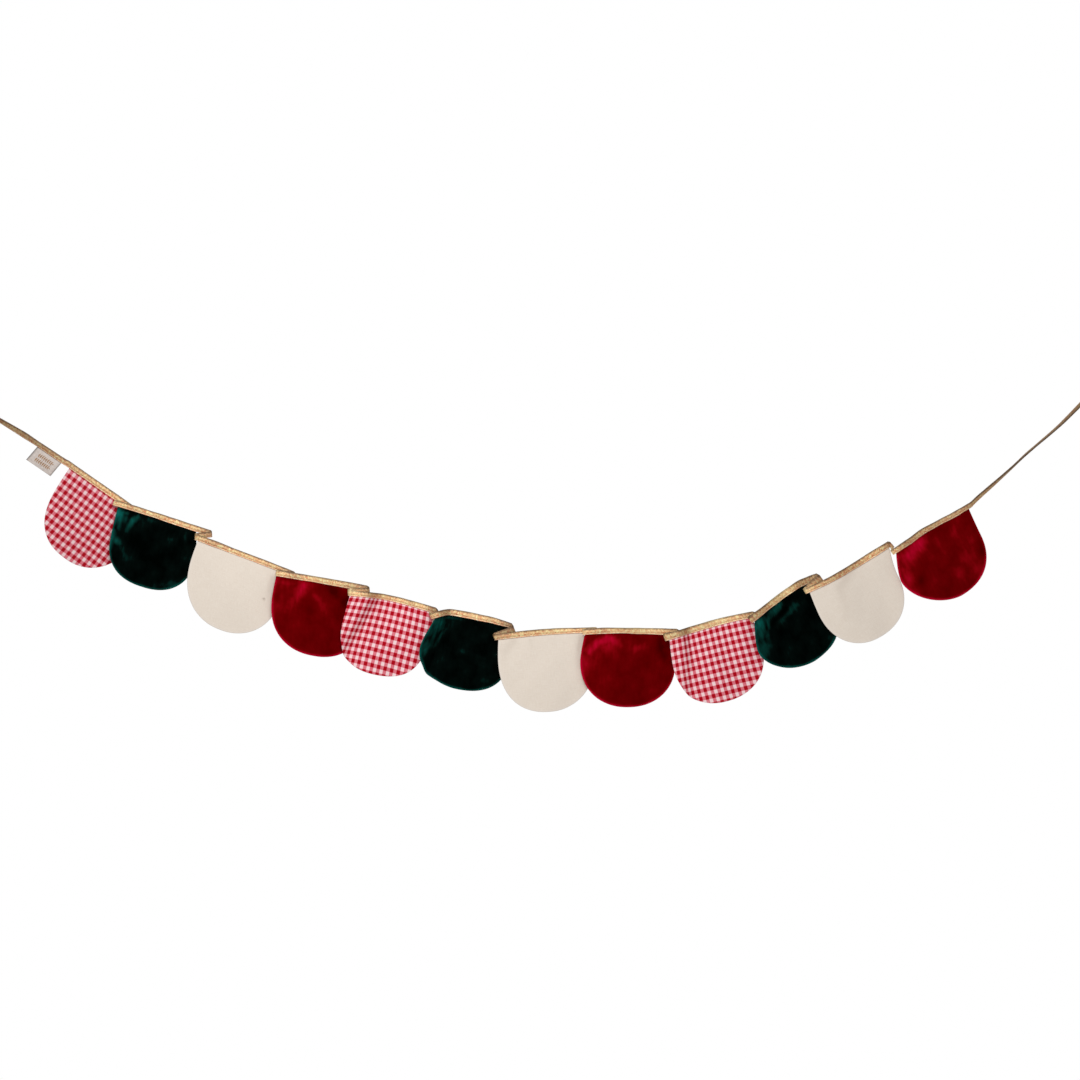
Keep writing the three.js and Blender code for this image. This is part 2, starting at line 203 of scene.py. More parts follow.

# The tape is sewn on by hand and eye. For each run, in the same order, at each fifth of its length:
# how far its crest and its lower edge lie above the run's own, and how far painted shade browns its gold
# where it turns from the light, or below 0 how far painted highlight brightens it.
SEWN = table("""
crest lower tone
1.7,1.7,1.6,1.4,1.3,1.5 0.8,0.8,0.6,0.5,0.7,0.8 0.3,0.2,0.1,0,0.12,0.1
1.7,1.7,1,0.5,-0.1,0 3.1,2.9,2.5,1.3,1,0.9 -0.1,0.2,0.08,0,-0.05,0.5
0.6,0.8,-0.3,-0.3,-0.1,0.2 0,-0.3,-0.5,-0.5,-0.3,0 0.15,0.3,0.02,0,0.2,0.5
0.3,0.3,0.3,0.3,0.5,0.3 0.5,0.3,0.6,0.1,0,0 -0.1,0.35,-0.2,-0.12,0.32,0.45
0,-0.2,0,0,0.2,0.4 0,0,0,0,0,0 -0.3,0.28,-0.03,0,-0.15,0.5
0.3,0.7,0.7,1,2.2,1.6 -0.5,-0.3,-0.7,-0.4,1,2 0.12,0.42,0,-0.05,0.15,0.65
0,0.3,0.4,0.1,-0.5,-0.5 0,0,0,0,0,0 0.35,0.15,-0.05,-0.15,0,-0.15
0,1.5,1.1,1.1,1.4,1.7 0.6,1.1,1.6,0.9,0.8,1 -0.05,0.25,-0.15,-0.26,-0.13,0.2
1.7,0.5,0.4,0.4,0.1,-0.1 1,0.8,0.4,0.6,0.8,0.6 0.15,0.42,-0.08,-0.22,-0.05,0.25
0.8,-0.5,-0.9,-0.5,1.6,2.4 0.4,0.3,-0.3,0,1.6,2.4 0.47,0.12,-0.3,-0.3,0.33,0.45
0.5,1.3,1.6,2.2,3.1,3.2 0.5,0.5,0.5,0.8,1.2,1.5 -0.08,0.2,0.28,0.2,-0.02,0.35
0.2,0.9,2.5,1,-0.1,0.1 0.4,0.4,2.1,1.4,0.3,0.8 0,0.42,0.2,0.33,0.35,0.45
""")

# The bare ends of the tape: middle line, height, how far it is rolled about its length in degrees, the
# slot between its plies, which holds the label at two rows, and how far painted shade browns its gold.
LEFT_TAIL = table("""
x z tall roll slot tone
0 0 8.4 52 0.4 0.55
17 -10.3 8.4 44 0.4 0.55
36 -21.7 8.5 30 0.4 0.5
53 -32.2 8.4 14 0.4 0.55
71 -44 7.4 4 label 0.6
105 -66.8 8.2 0 label 0.38
""")
RIGHT_TAIL = table("""
x z tall roll slot tone
1378 -126.2 6.4 22 0.4 0.42
1386.5 -118 6.9 34 0.4 0.36
1398.1 -107.7 7.2 46 0.6 0.36
1414.2 -93.5 7.8 64 1 0.4
1436.1 -73.7 8 80 1.5 0.6
1452.2 -59 8 94 1.5 0.66
1468.4 -45 8 100 0.7 0.7
1490.2 -26.5 8 106 0.4 0.7
1506.3 -11.8 8 112.5 0.4 0.68
1529.7 11.9 8 122 0.4 0.68
1546 29 8 125 0.4 0.65
""")

# Painted light, drawn as strokes on the cut: painted sheen on the velvet, and painted shade where a
# stroke is below 0; painted shade on the gingham and the cream cotton; and on flag 3 one small real fleck.
# flag: number from the left. u v, to_u to_v: the stroke's ends on the cut, across from the middle and down
# from the binding. wide: its half width. The last two columns: how much it shows at either end.
STROKES = table("""
flag u v to_u to_v wide lift to_lift
1 0 20 0 100 90 0.17 0.14
2 -56 6 -54 22 6.6 0.53 0.21
2 -56 4 -44 2 3.1 0.45 0.18
2 -36 10 -42 26 4 0.38 0.15
2 -30 3 -36 10 3.8 0.19 0.38
2 -59 30 -58 53 3.5 0.26 0.1
2 -53 44 -44 46 4.3 0.35 0.14
2 -44 52 -36 61 5.3 0.2 0.08
2 -14 2 20 4 4.3 0.13 0.06
2 20 21 23 32 4.5 0.1 0.04
2 41 12 48 30 3.1 0.12 0.05
2 12 89 38 79 4.3 0.11 0.05
2 -20 36 4 54 14.8 -0.07 -0.07
3 48 44 49.5 45 1.2 1 0.9
3 54 12 54 32 3.6 0.22 0.16
3 54 32 58 51 3.6 0.12 0.06
4 -24 6 -32 28 7.2 0.36 0.24
4 -32 28 -43 46 8 0.24 0.1
4 -52 7 -35 6 3.5 0.23 0.09
4 -24 2 -8 5 5.1 0.21 0.08
4 -59 18 -55 55 18 0.09 0.04
4 -6 19 12 38 5.4 0.24 0.11
4 12 38 23 53 5.8 0.11 0.04
4 28 8 40 24 3.5 0.08 0.04
4 20 6 38 20 9.8 -0.22 -0.22
4 -17 28 -10 41 7.3 -0.1 -0.1
5 -12 1 -11 58 6 0.1 0.04
5 -28 2 -42 50 1.5 0.22 0.08
5 -20 2 -34 48 1.5 0.18 0.06
6 -48 9 -62 32 11.3 0.33 0.13
6 -64 14 -64 44 5.1 0.28 0.11
6 -36 26 -44 43 5 0.2 0.1
6 -62 44 -60 50 4 0.2 0.08
6 -46 3 -6 4 2.2 0.2 0.08
6 -4 46 32 49 3.2 0.08 0.05
7 -40 3 -54 18 7.7 0.18 0.14
7 -54 18 -58 34 6.3 0.12 0.05
7 -16 6 -16 15 3.5 0.1 0.06
7 55 6 49 24 3.9 0.34 0.24
7 49 24 46 48 3.4 0.18 0.1
8 -54 22 -40 10 6.5 0.41 0.43
8 -40 10 -24 6 6.5 0.43 0.41
8 -24 6 -10 16 6.5 0.41 0.17
8 -28 17 -21 32 11.5 0.24 0.1
8 12 20 24 14 5.4 0.28 0.11
8 1 11 6 27 8.9 0.14 0.05
8 -60 30 -58 55 5.8 0.28 0.12
8 -48 29 -45 64 18 0.11 0.05
8 45 6 55 36 7.3 -0.2 -0.2
8 -57 8 -52 14 3.5 -0.1 -0.1
9 -41 2 -39 50 1.4 0.36 0.1
9 -34 2 -33 46 1.4 0.32 0.08
10 -9 4 -48 7 6.5 0.28 0.11
10 -56 6 -68 41 8.1 0.39 0.16
10 -40 8 -56 31 4 0.23 0.09
10 -4 14 -38 18 3.7 -0.14 -0.14
10 14 17 -21 24 5.6 0.2 0.13
10 -21 24 -31 26 3.5 0.13 0.05
11 6 -2 -20 12 7.7 0.2 0.2
11 -20 12 -28 50 7 0.18 0.08
12 -22 4 -47 12 11.6 0.44 0.37
12 -47 12 -58 25 11.6 0.37 0.14
12 -60 26 -58 62 7 0.34 0.2
12 1 12 4 34 5 0.16 0.07
12 32 14 30 48 7 0.17 0.16
12 30 48 15 72 8 0.16 0.1
12 12 70 12 87 10.9 0.19 0.07
12 -62 53 -41 48 7 -0.12 -0.12
12 61 26 52 64 5.8 -0.15 -0.15
12 -20 34 -16 62 17 0.09 0.04
12 40 24 34 78 15 0.09 0.11
""")

FRONT = np.array([0.0, -1.0, 0.0])
BACK = np.array([0.0, 1.0, 0.0])

# ---- the line of each run


def mix(a, b, share):
    return a + (b - a) * share


def smooth(value, low, high):
    """Rises from 0 at low to 1 at high, levelling off at both."""
    share = np.clip((value - low) / (high - low), 0, 1)
    return share * share * (3 - 2 * share)


def unit(vectors):
    return vectors / np.linalg.norm(vectors, axis=-1, keepdims=True)


def columns_at(where, knots, values):
    """Each column of values, read between the knots."""
    return np.stack([np.interp(where, knots, column) for column in values.T], axis=-1)


def upright(along):
    """Across the tape, in the hanging plane."""
    return unit(np.stack([-along[..., 2], 0 * along[..., 0], along[..., 0]], axis=-1))


def lengths_along(points):
    return np.concatenate([[0], np.cumsum(np.linalg.norm(np.diff(points, axis=0), axis=1))])


def arch(t, peak):
    """Rises from 0 to 1 at the peak and falls to 0 again, like a bent strip."""
    rising = np.sin(math.pi / 2 * t / peak)
    falling = np.cos(math.pi / 2 * (t - peak) / (1 - peak))
    return np.where(t < peak, rising, falling)


def run_depth(run, t, ease, slant):
    """How far back the run lies at t of its way, from in front of the run before to behind the next."""
    across = smooth(t, *RUN.passes)
    start, end = run.step_from + slant, run.step_to + slant
    step = smooth(t, start, end) - smooth(t, end, RUN.settled + slant)
    hollow = np.sin(math.pi * np.clip(t, 0, 1)) ** 2
    return mix(-run.loop, run.next_loop, across) + ease * (run.step * step + run.hollow * hollow)


LEVELS = np.linspace(0, 1, RUN.levels)


def run_line(run, share):
    """The run's middle line by its own length from its left fold, as the cloth follows it at a share of
    the way down the flag: its steps and arch flatten towards the hem, and its step slants."""
    ease = mix(1, RUN.flatter_below, share)
    t = np.linspace(-RUN.overrun, 1 + RUN.overrun, 1041)
    x = mix(run.x, run.to_x, t)
    z = mix(run.z, run.to_z, t) + run.bow * ease * arch(t, run.bow_at)
    points = np.stack([x, run_depth(run, t, ease, run.slant * share), z], axis=-1)
    lengths = lengths_along(points)
    lengths -= np.interp(0, t, lengths)
    tangents = unit(np.gradient(points, lengths, axis=0))

    def at(length):
        along = unit(columns_at(length, lengths, tangents))
        return Named(point=columns_at(length, lengths, points), along=along, up=upright(along))

    return Named(at=at, length=float(np.interp(1, t, lengths)))


runs = []
for i, (row, manner, cut, sewn) in enumerate(zip(RUNS, HANGS, CUTS, SEWN)):
    run = Named(**vars(row), **vars(manner), **vars(cut), **vars(sewn))
    run.number = i + 1
    run.node = f"flag_{i + 1:02d}_{row.cloth}"
    run.next_loop = RUNS[i + 1].loop if i + 1 < len(RUNS) else 0
    run.levels = [run_line(run, share) for share in LEVELS]
    run.line = run.levels[0]
    run.middle = run.lead + FLAG.top / 2
    runs.append(run)

# ---- meshes


def in_scene(name, data):
    made = bpy.data.objects.new(name, data)
    scene.collection.objects.link(made)
    return made


def make_mesh(name, points, faces, maps=None, shades=None):
    """A smooth mesh object, in metres. maps: a pair for each point. shades: a number for each point."""
    mesh = bpy.data.meshes.new(name)
    mesh.from_pydata((np.asarray(points) * MM).tolist(), [], faces)
    mesh.polygons.foreach_set("use_smooth", [True] * len(mesh.polygons))
    loop_points = np.empty(len(mesh.loops), dtype=np.int32)
    mesh.loops.foreach_get("vertex_index", loop_points)
    for label, values in (maps or {}).items():
        layer = mesh.uv_layers.new(name=label)
        layer.uv.foreach_set("vector", np.asarray(values, dtype=np.float32)[loop_points].ravel())
    for label, values in (shades or {}).items():
        layer = mesh.attributes.new(label, "FLOAT", "POINT")
        layer.data.foreach_set("value", np.asarray(values, dtype=np.float32).ravel())
    mesh.update()
    return in_scene(name, mesh)


def grid_faces(index, flip=False):
    """Quads over a grid of point numbers."""
    a, b = index[:-1, :-1], index[:-1, 1:]
    c, d = index[1:, 1:], index[1:, :-1]
    corners = (a, b, c, d) if flip else (d, c, b, a)
    return np.stack(corners, axis=-1).reshape(-1, 4).tolist()


def sheet_mesh(name, middle, face, thick, maps, shades):
    """A closed sheet from a grid of points, its facing and its thickness, which is 0 along its edge. maps
    and shades give a grid each for the front, and the same or another for the back."""
    front, back = (middle + side * face * (thick / 2)[..., None] for side in (1, -1))
    rows, cols = front.shape[:2]
    index = np.arange(rows * cols).reshape(rows, cols)
    under = index.copy()
    inner = (rows - 2) * (cols - 2)
    under[1:-1, 1:-1] = rows * cols + np.arange(inner).reshape(rows - 2, cols - 2)

    def both(pair):
        on_front, on_back = pair
        size = on_front.shape[2:]
        return np.concatenate([on_front.reshape(-1, *size), on_back[1:-1, 1:-1].reshape(-1, *size)])

    maps = {label: both(pair) for label, pair in maps.items()}
    shades = {label: both(pair) for label, pair in shades.items()}
    faces = grid_faces(index) + grid_faces(under, flip=True)
    return make_mesh(name, both((front, back)), faces, maps, shades)


# ---- the flags


def reach(depth, drop, top, wide, full):
    """How far one side of the cut reaches from its middle line at each depth."""
    below = np.clip((depth - FLAG.wide_at) / (drop - FLAG.wide_at), 0, 1)
    above = np.clip(1 - depth / FLAG.wide_at, 0, 1)
    return wide * (1 - below**full) ** (1 / full) - (wide - top) * above**FLAG.spread


def cut_rows(run):
    """Depth, left and right reach of each row of the flag's cut, from inside the binding to the hem."""
    slot_depth = run.tall - TAPE.ply - 3 * CLEARANCE
    inside, above, below = FLAG.rows
    sewn = -np.linspace(slot_depth, FLAG.first_row, inside)
    upper = np.linspace(0, FLAG.wide_at, above)
    turn = np.radians(np.linspace(0, FLAG.rows_turn, below))[1:]
    lower = FLAG.wide_at + (run.drop - FLAG.wide_at) * np.sin(turn) ** FLAG.rows_crowd
    depth = np.concatenate([sewn, upper, lower])
    left = reach(depth, run.drop, run.top_left, run.left, run.full_left)
    right = reach(depth, run.drop, run.top_right, run.right, run.full_right)
    # Inside the binding the flag stays between the folds.
    left = np.where(depth < 0, np.minimum(left, run.middle - 1), left)
    right = np.where(depth < 0, np.minimum(right, run.line.length - run.middle - 1), right)
    return depth, left, right


def nearest_on(points, start, end):
    """How far along the way from start to end each point of the cut is, and how far off it."""
    span, offset = end - start, points - start
    share = np.clip(offset @ span / max(span @ span, 1e-6), 0, 1)
    return share, np.linalg.norm(offset - share[..., None] * span, axis=-1)


def leaning(chord, lean):
    """The way down from a chord, with so much of a lean along it."""
    return unit(np.array([chord[2], 0, -chord[0]]) + lean * chord)


def hang(run, u, v):
    """Where the points u, v of a flag's cut hang."""
    plumb = leaning(unit(np.array([run.to_x - run.x, 0, run.to_z - run.z])), run.lean)
    share = np.clip(v / run.drop, 0, 1)[..., None]
    followed = 0
    for level, line in zip(LEVELS, run.levels):
        here = line.at(run.middle * line.length / run.line.length + u)
        nearness = np.clip(1 - abs(share - level) * (len(LEVELS) - 1), 0, 1)
        below = here.point - run.tall / 2 * mix(here.up, -plumb, level)
        followed = followed + nearness * below
    swell = np.cos(math.pi * np.clip(u / FLAG.wide, -0.5, 0.5))[..., None] * np.sin(math.pi * share)
    hung = followed + plumb * v[..., None] + FRONT * run.billow * swell + BACK * run.curl * share**2
    top = run.line.at(run.middle + u)
    sewn = top.point - top.up * (run.tall / 2 + v[..., None])
    return np.where(v[..., None] < 0, sewn, hung)


def waves(seed, u, v, headings, lengths):
    """Waves over a flag's cut, each with its own length, heading and start."""
    seeded = np.random.default_rng(seed)
    for length in lengths:
        heading, phase = seeded.uniform(*headings), seeded.uniform(0, 2 * math.pi)
        along = u * math.cos(heading) + v * math.sin(heading)
        yield length, np.sin(2 * math.pi * along / length + phase)


def ripple(run, u, v):
    """Soft unevenness of pressed cloth, growing below the binding, in millimetres."""
    height = np.zeros_like(u)
    for length, wave in waves(40 + run.number, u, v, (-0.9, 0.9), (95, 60, 38)):
        height += length / 95 * FLAG.ripple * wave
    return height * smooth(v, 2, 40)


def strokes_on(run, u, v):
    """How much painted sheen or painted shade, and on flag 3 a real fleck, the flag's strokes give each
    point.
    """
    ragged = np.ones_like(u)
    for _, wave in waves(90 + run.number, u, v, (0, math.pi), (31, 19, 11, 7)):
        ragged += FLAG.ragged * wave
    points = np.stack([u, v], axis=-1)
    # The largest amount (painted sheen on the velvet, painted shade or the fleck on the cottons) is kept
    # apart from the lowest (painted shade on the velvet).
    painted_raise, pressed = np.zeros_like(u), np.zeros_like(u)
    for stroke in STROKES:
        if stroke.flag != run.number:
            continue
        start, end = np.array([stroke.u, stroke.v]), np.array([stroke.to_u, stroke.to_v])
        share, gap = nearest_on(points, start, end)
        shown = mix(stroke.lift, stroke.to_lift, share) * np.exp(-((gap * ragged / stroke.wide) ** 2))
        painted_raise, pressed = np.maximum(painted_raise, shown), np.minimum(pressed, shown)
    return painted_raise + pressed


def check_grain(run, u, v):
    """The point of the gingham's own pattern at each point of the cut."""
    across, down = u / 60, v / 100
    terms = np.stack([1 + 0 * u, across, down, across**2, across * down, down**2], axis=-1)
    for drift in CHECKS:
        if drift.flag == run.number:
            return np.stack([u - terms @ drift.over, v - terms @ drift.down], axis=-1)
    return np.stack([u, v], axis=-1)


def make_flag(run):
    """A flag: two plies seamed round the edge, turned and pressed, with the seam allowance inside."""
    cloth = CLOTHS[run.cloth]
    depth, left, right = cut_rows(run)
    spread = np.linspace(-1, 1, FLAG.columns)
    across = np.sign(spread) * (1 - (1 - np.abs(spread)) ** FLAG.columns_crowd)
    u = np.where(across < 0, left[:, None], right[:, None]) * across
    v = np.repeat(depth[:, None], len(across), axis=1)
    middle = hang(run, u, v)
    aside, hanging = 0.8, np.maximum(v, 0)
    slope_u = hang(run, u + aside, v) - hang(run, u - aside, v)
    slope_v = hang(run, u, hanging + aside) - hang(run, u, hanging)
    face = unit(np.cross(slope_v, slope_u))
    middle = middle + face * ripple(run, u, v)[..., None]

    sides = np.stack([-left, depth], axis=-1), np.stack([right, depth], axis=-1)[::-1]
    outline = np.concatenate(sides)
    points = np.stack([u, v], axis=-1)
    inside = np.min([nearest_on(points, *ends)[1] for ends in zip(outline, outline[1:])], axis=0)
    turned = np.sqrt(1 - (1 - np.clip(inside / cloth.edge, 0, 1)) ** 2)
    ridge = cloth.ridge * np.exp(-(((inside - FLAG.seam_in) / FLAG.seam_wide) ** 2))
    below = smooth(v, -0.5, 5)
    thick = turned * (mix(FLAG.sewn_in, cloth.thick, below) + below * ridge)

    # Painted light from the strokes: sheen and shade on the velvet, shade on the cottons, and one real
    # fleck.
    lift = strokes_on(run, u, v)
    # A highlight is painted along the turned edge, strongest at the lower left, where the light falls.
    low_left = smooth(v / run.drop - 0.5 * u / FLAG.wide, -0.35, 0.9)
    rim = np.exp(-((inside / FLAG.rim_wide) ** 2)) * smooth(v, -1, 8) * mix(0.3, 1, low_left)
    maps = {"cloth": (check_grain(run, u, v),) * 2}
    shades = {"lift": (lift, 0 * lift), "rim": (rim, rim)}
    made = sheet_mesh(run.node.replace("flag_", "scallop_"), middle, face, thick, maps, shades)
    area = np.trapz(left + right, depth) * MM * MM
    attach(made, "root")
    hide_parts(run.node)
    return made


# ---- the binding tape


def half_turn(point, heading, up, returning, radius, side):
    """Stations of a half turn over an upright fold line, starting at point and turning towards side."""
    fold_line = heading - returning
    fold_line = unit(np.array([-fold_line[2], 0, fold_line[0]]))
    outward = unit(heading - fold_line * (heading @ fold_line))
    climb = (heading @ fold_line) / (heading @ outward)
    angle = (math.pi * np.arange(1, TAPE.turn_steps + 1) / TAPE.turn_steps)[:, None]
    swept = outward * np.cos(angle) + side * np.sin(angle)

    def turned(vector):
        return fold_line * (vector @ fold_line) + swept * (vector @ outward)

    points = (
        point
        + outward * radius * np.sin(angle)
        + side * radius * (1 - np.cos(angle))
        + fold_line * climb * radius * angle
    )
    return points, turned(heading), turned(up)


def flat_unit(vector):
    """The vector's heading in the hanging plane."""
    return unit(np.array([vector[0], 0, vector[2]]))


def stations(point, along, up, *sizes):
    """Places along the tape: its middle line, headings, height, slot, and its painted shade and highlight.
    """
    tall, slot, tone = (np.broadcast_to(size, len(point)).astype(float) for size in sizes)
    return Named(point=point, along=along, up=up, tall=tall, slot=slot, tone=tone)


def joined(parts):
    """Stretches of the tape, end to end."""
    return Named(**{name: np.concatenate([vars(part)[name] for part in parts]) for name in vars(parts[0])})


def station(part, i):
    return Named(**{name: column[i] for name, column in vars(part).items()})


def eased(where, values):
    """The columns of values at each whole number of where, and a smooth way between them."""
    step = np.clip(np.floor(where).astype(int), 0, len(values) - 2)
    return mix(values[step], values[step + 1], smooth(where - step, 0, 1)[:, None])


def run_stations(run):
    """The tape along one run, with its slot open over the flag and its edges as they were sewn."""
    count = round(run.line.length / TAPE.step)
    length = np.linspace(0, run.line.length, count)
    slot = FLAG.sewn_in + TAPE.easing + 2 * CLEARANCE
    ends = [0, run.lead, run.lead + FLAG.top, run.line.length]
    here = run.line.at(length)
    wide_open = np.interp(length, ends, [TAPE.slit, slot, slot, TAPE.slit])
    fifths = np.stack([run.crest, run.lower, run.tone], axis=-1)
    crest, lower, tone = eased(length / run.line.length * (len(fifths) - 1), fifths).T
    point = here.point + here.up * ((crest + lower) / 2)[:, None]
    return stations(point, here.along, here.up, run.tall + crest - lower, wide_open, tone)


def z_fold(end, start, run):
    """The tape between the last station of the run before and the first of this run."""
    back = flat_unit(start.point - end.point)
    back = unit(np.array([min(back[0], -abs(back[2])), 0, back[2]]))
    first = half_turn(end.point, flat_unit(end.along), end.up, back, run.loop / 2, FRONT)
    ahead = -flat_unit(start.along)
    points, along, up = half_turn(start.point, ahead, start.up, -back, run.loop / 2, BACK)
    turn = np.arange(1, TAPE.turn_steps + 1) / TAPE.turn_steps
    lost = end.tall * run.pinch * np.sin(math.pi * turn)
    gained = end.tall * run.opened * smooth(turn, 0, 0.7)
    between = np.linspace(0, 1, TAPE.link_steps + 2)[1:-1, None]
    link_up = unit(mix(first[2][-1], up[-1], between))
    link_gained = gained[-1] * (1 - between)
    link = stations(
        mix(first[0][-1], points[-1], between) - link_up * link_gained / 2,
        unit(mix(first[1][-1], -along[-1], between)),
        link_up,
        mix(end.tall, start.tall, between[:, 0]) + link_gained[:, 0],
        TAPE.slit,
        mix(end.tone, start.tone, between[:, 0]),
    )
    shift = first[2] * (lost + gained)[:, None] / 2
    # The second half turn gets a painted highlight on its gold.
    return joined([
        stations(first[0] - shift, *first[1:], end.tall - lost + gained, TAPE.slit, end.tone),
        link,
        stations(points[::-1], -along[::-1], up[::-1], start.tall, TAPE.slit, start.tone - TAPE.turned_new),
    ])


def smooth_through(knots, count):
    """Points on a smooth curve through the knots after the first and before the last."""
    t = np.linspace(0, 1, count, endpoint=False)[:, None]
    spans = [
        (2 * t**3 - 3 * t**2 + 1) * start + (t**3 - 2 * t**2 + t) * (end - before) / 2
        + (3 * t**2 - 2 * t**3) * end + (t**3 - t**2) * (after - start) / 2
        for before, start, end, after in zip(knots, knots[1:], knots[2:], knots[3:])
    ]
    return np.concatenate(spans + [knots[-2:-1]])


LABEL_SLOT = LABEL.thick + 2 * CLEARANCE


def tail_stations(rows, before=None, after=None):
    """before and after are the neighbouring run's stations, which the tail runs on from or into."""
    knots = np.array([
        (row.x, 0, row.z, row.tall, row.roll, LABEL_SLOT if row.slot == "label" else row.slot, row.tone)
        for row in rows
    ])

    def run_knots(part, *places):
        return [(*part.point[i], part.tall[i], 0, part.slot[i], part.tone[i]) for i in places]

    first = run_knots(before, -7, -1) if before else [2 * knots[0] - knots[1]]
    last = run_knots(after, 0, 6) if after else [2 * knots[-1] - knots[-2]]
    curve = smooth_through(np.array([*first, *knots, *last]), TAPE.tail_steps)
    # A run keeps its own last station.
    curve = curve[1 if before else 0:-1 if after else None]
    point, (tall, roll, slot, tone) = curve[:, :3], curve[:, 3:].T
    along = unit(np.gradient(point, axis=0))
    level = upright(along)
    roll = np.radians(roll)[:, None]
    up = level * np.cos(roll) + np.cross(along, level) * np.sin(roll)
    return stations(point, along, up, tall, np.maximum(slot, TAPE.slit), tone)


def tape_profile(tall, slot):
    """The folded tape's section: through and height of each corner, and the place round the fold, which
    is 0 at the front's lower edge, 0.5 on the crest and 1 at the back's lower edge."""
    half, low, high = slot / 2, -tall / 2, tall / 2
    outer = half + TAPE.ply
    crest = outer * TAPE.top_share
    outside = [
        # through, height, round the fold
        (half + 0.25, low, 0.0),
        (outer - 0.12, low - 0.02, 0.01),
        (outer, low + 0.16, 0.03),
        (outer + 0.02, low + 0.6, 0.06),
        (outer - 0.06, low + 1.0, 0.09),
        (outer - 0.24, low + 1.35, 0.12),
        (outer - TAPE.pressed, low + 1.7, 0.15),
        (outer - 0.04, low + 2.1, 0.19),
        (outer + 0.06, mix(low, high, 0.42), 0.24),
        (mix(outer, crest, 0.45), mix(low, high, 0.62), 0.31),
        (mix(outer, crest, 0.85), high - 1.3, 0.38),
        (crest * 0.98, high - 0.8, 0.42),
        (crest * 0.86, high - 0.36, 0.45),
        (crest * 0.52, high - 0.08, 0.475),
        (0, high + 0.02, 0.5),
    ]
    behind = [(-through, height, 1 - place) for through, height, place in outside[-2::-1]]
    inside = [
        (-half, low + 0.1, 0.99),
        (-half, high - TAPE.ply, 0.6),
        (half, high - TAPE.ply, 0.4),
        (half, low + 0.1, 0.01),
    ]
    return np.array(outside + behind + inside)


def make_tape(course):
    """One strip of ribbon folded over the flags' top edges, swept along its stations."""
    count = len(course.point)
    face = unit(np.cross(course.along, course.up))
    length = lengths_along(course.point)
    seeded = np.random.default_rng(7)
    knots = np.arange(int(length[-1] / TAPE.waver_pitch) + 2) * TAPE.waver_pitch
    uneven = np.interp(length, knots, seeded.normal(0, TAPE.waver, len(knots)))
    points, places = [], []
    for i in range(count):
        profile = tape_profile(course.tall[i] + uneven[i], course.slot[i])
        points.append(course.point[i] + profile[:, :1] * face[i] + profile[:, 1:2] * course.up[i])
        places.append(profile[:, 2])
    points, places = np.array(points), np.array(places)
    corners = points.shape[1]
    index = np.arange(count * corners).reshape(count, corners)
    ring = np.concatenate([index, index[:, :1]], axis=1)
    # Both raw ends are cut straight across and closed between the plies.
    faces = grid_faces(ring, flip=True) + [index[0, ::-1].tolist(), index[-1].tolist()]
    maps = {"ribbon": np.stack([np.repeat(length, corners), places.ravel()], axis=-1)}
    shades = {"tone": np.repeat(course.tone, corners)}
    made = make_mesh("gold_tape", points.reshape(-1, 3), faces, maps, shades)
    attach(made, "root")
    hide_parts("binding_tape")
    return made


def make_label(course, held):
    """The folded satin label: its top edge is sewn in between the ribbon's plies at the held stations."""
    down = leaning(flat_unit(course.point[held[-1]] - course.point[held[0]]), LABEL.lean)
    face = unit(np.cross(course.along[held], course.up[held]))
    tall = course.tall[held][:, None]
    sewn_depth = tall - TAPE.ply - 3 * CLEARANCE
    lower = course.point[held] - tall / 2 * course.up[held]
    # Three rows lie inside the tape.
    rows = [lower + course.up[held] * sewn_depth * share for share in (1, 0.5, 0.12)]
    hem = [LABEL.drop - 0.5, LABEL.drop - 0.2, LABEL.drop]
    drops = [*np.linspace(0, LABEL.drop - 1, LABEL.rows), *hem]
    across = np.linspace(-1, 1, len(held))[:, None]
    for drop in drops:
        share = drop / LABEL.drop
        swing = LABEL.swing * math.sin(math.pi * share) * (1 - across**2) - LABEL.twist * share**2 * across
        rows.append(lower + down * drop + FRONT * swing + BACK * LABEL.curl * drop**2)
    middle = np.array(rows)
    depth = np.concatenate([[-3, -1.5, -0.4], drops])
    wide = np.linalg.norm(lower[-1] - lower[0])
    u = np.broadcast_to(across[:, 0] * wide / 2, (len(depth), len(held)))
    v = np.broadcast_to(depth[:, None], u.shape)
    edge = np.minimum(np.minimum(wide / 2 - np.abs(u), LABEL.drop - v), LABEL.rounded) / LABEL.rounded
    thick = LABEL.ribbon * np.sqrt(np.clip(1 - (1 - edge) ** 2, 0, 1))
    thick[0] = 0
    maps = {"cloth": (np.stack([u, v], axis=-1),) * 2}
    made = sheet_mesh("satin_label", middle, face, thick, maps, {})
    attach(made, "root")
    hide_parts("label")
    front = middle + face * (thick / 2)[..., None]
    return made, Named(points=front, normals=face, u=u[0], v=depth)


# ---- sewing thread

THREAD = Named(
    radius=0.2,
    pitch=3.0,  # from one stitch of the tape's seam to the next
    stitch=2.5,  # the part of it that lies on top
    from_edge=1.45,  # between the seam and the tape's lower edge
    sunk=0.1,  # how far the thread beds into the cloth
    uneven=0.25,  # of the stitches' length
    ends=(1.5, 4),  # bare tape before the first stitch and after the last
)
SPRIG = Named(
    radius=0.58,  # of its satin stitches, which are several threads wide
    rows=(8.3, 16.0),  # depth of each stem below the tape
    pitch=2.6,  # from one pair of leaves to the next
    stem=(-11, 10.3, 2.4),  # its ends across the label, and the length of its stitches
    leaves=(-10.2, 9.8),  # the first and the last pair
    leaf=(0.4, 3.1, 1.1),  # where a leaf starts and ends beside the stem, and how far it leans
)


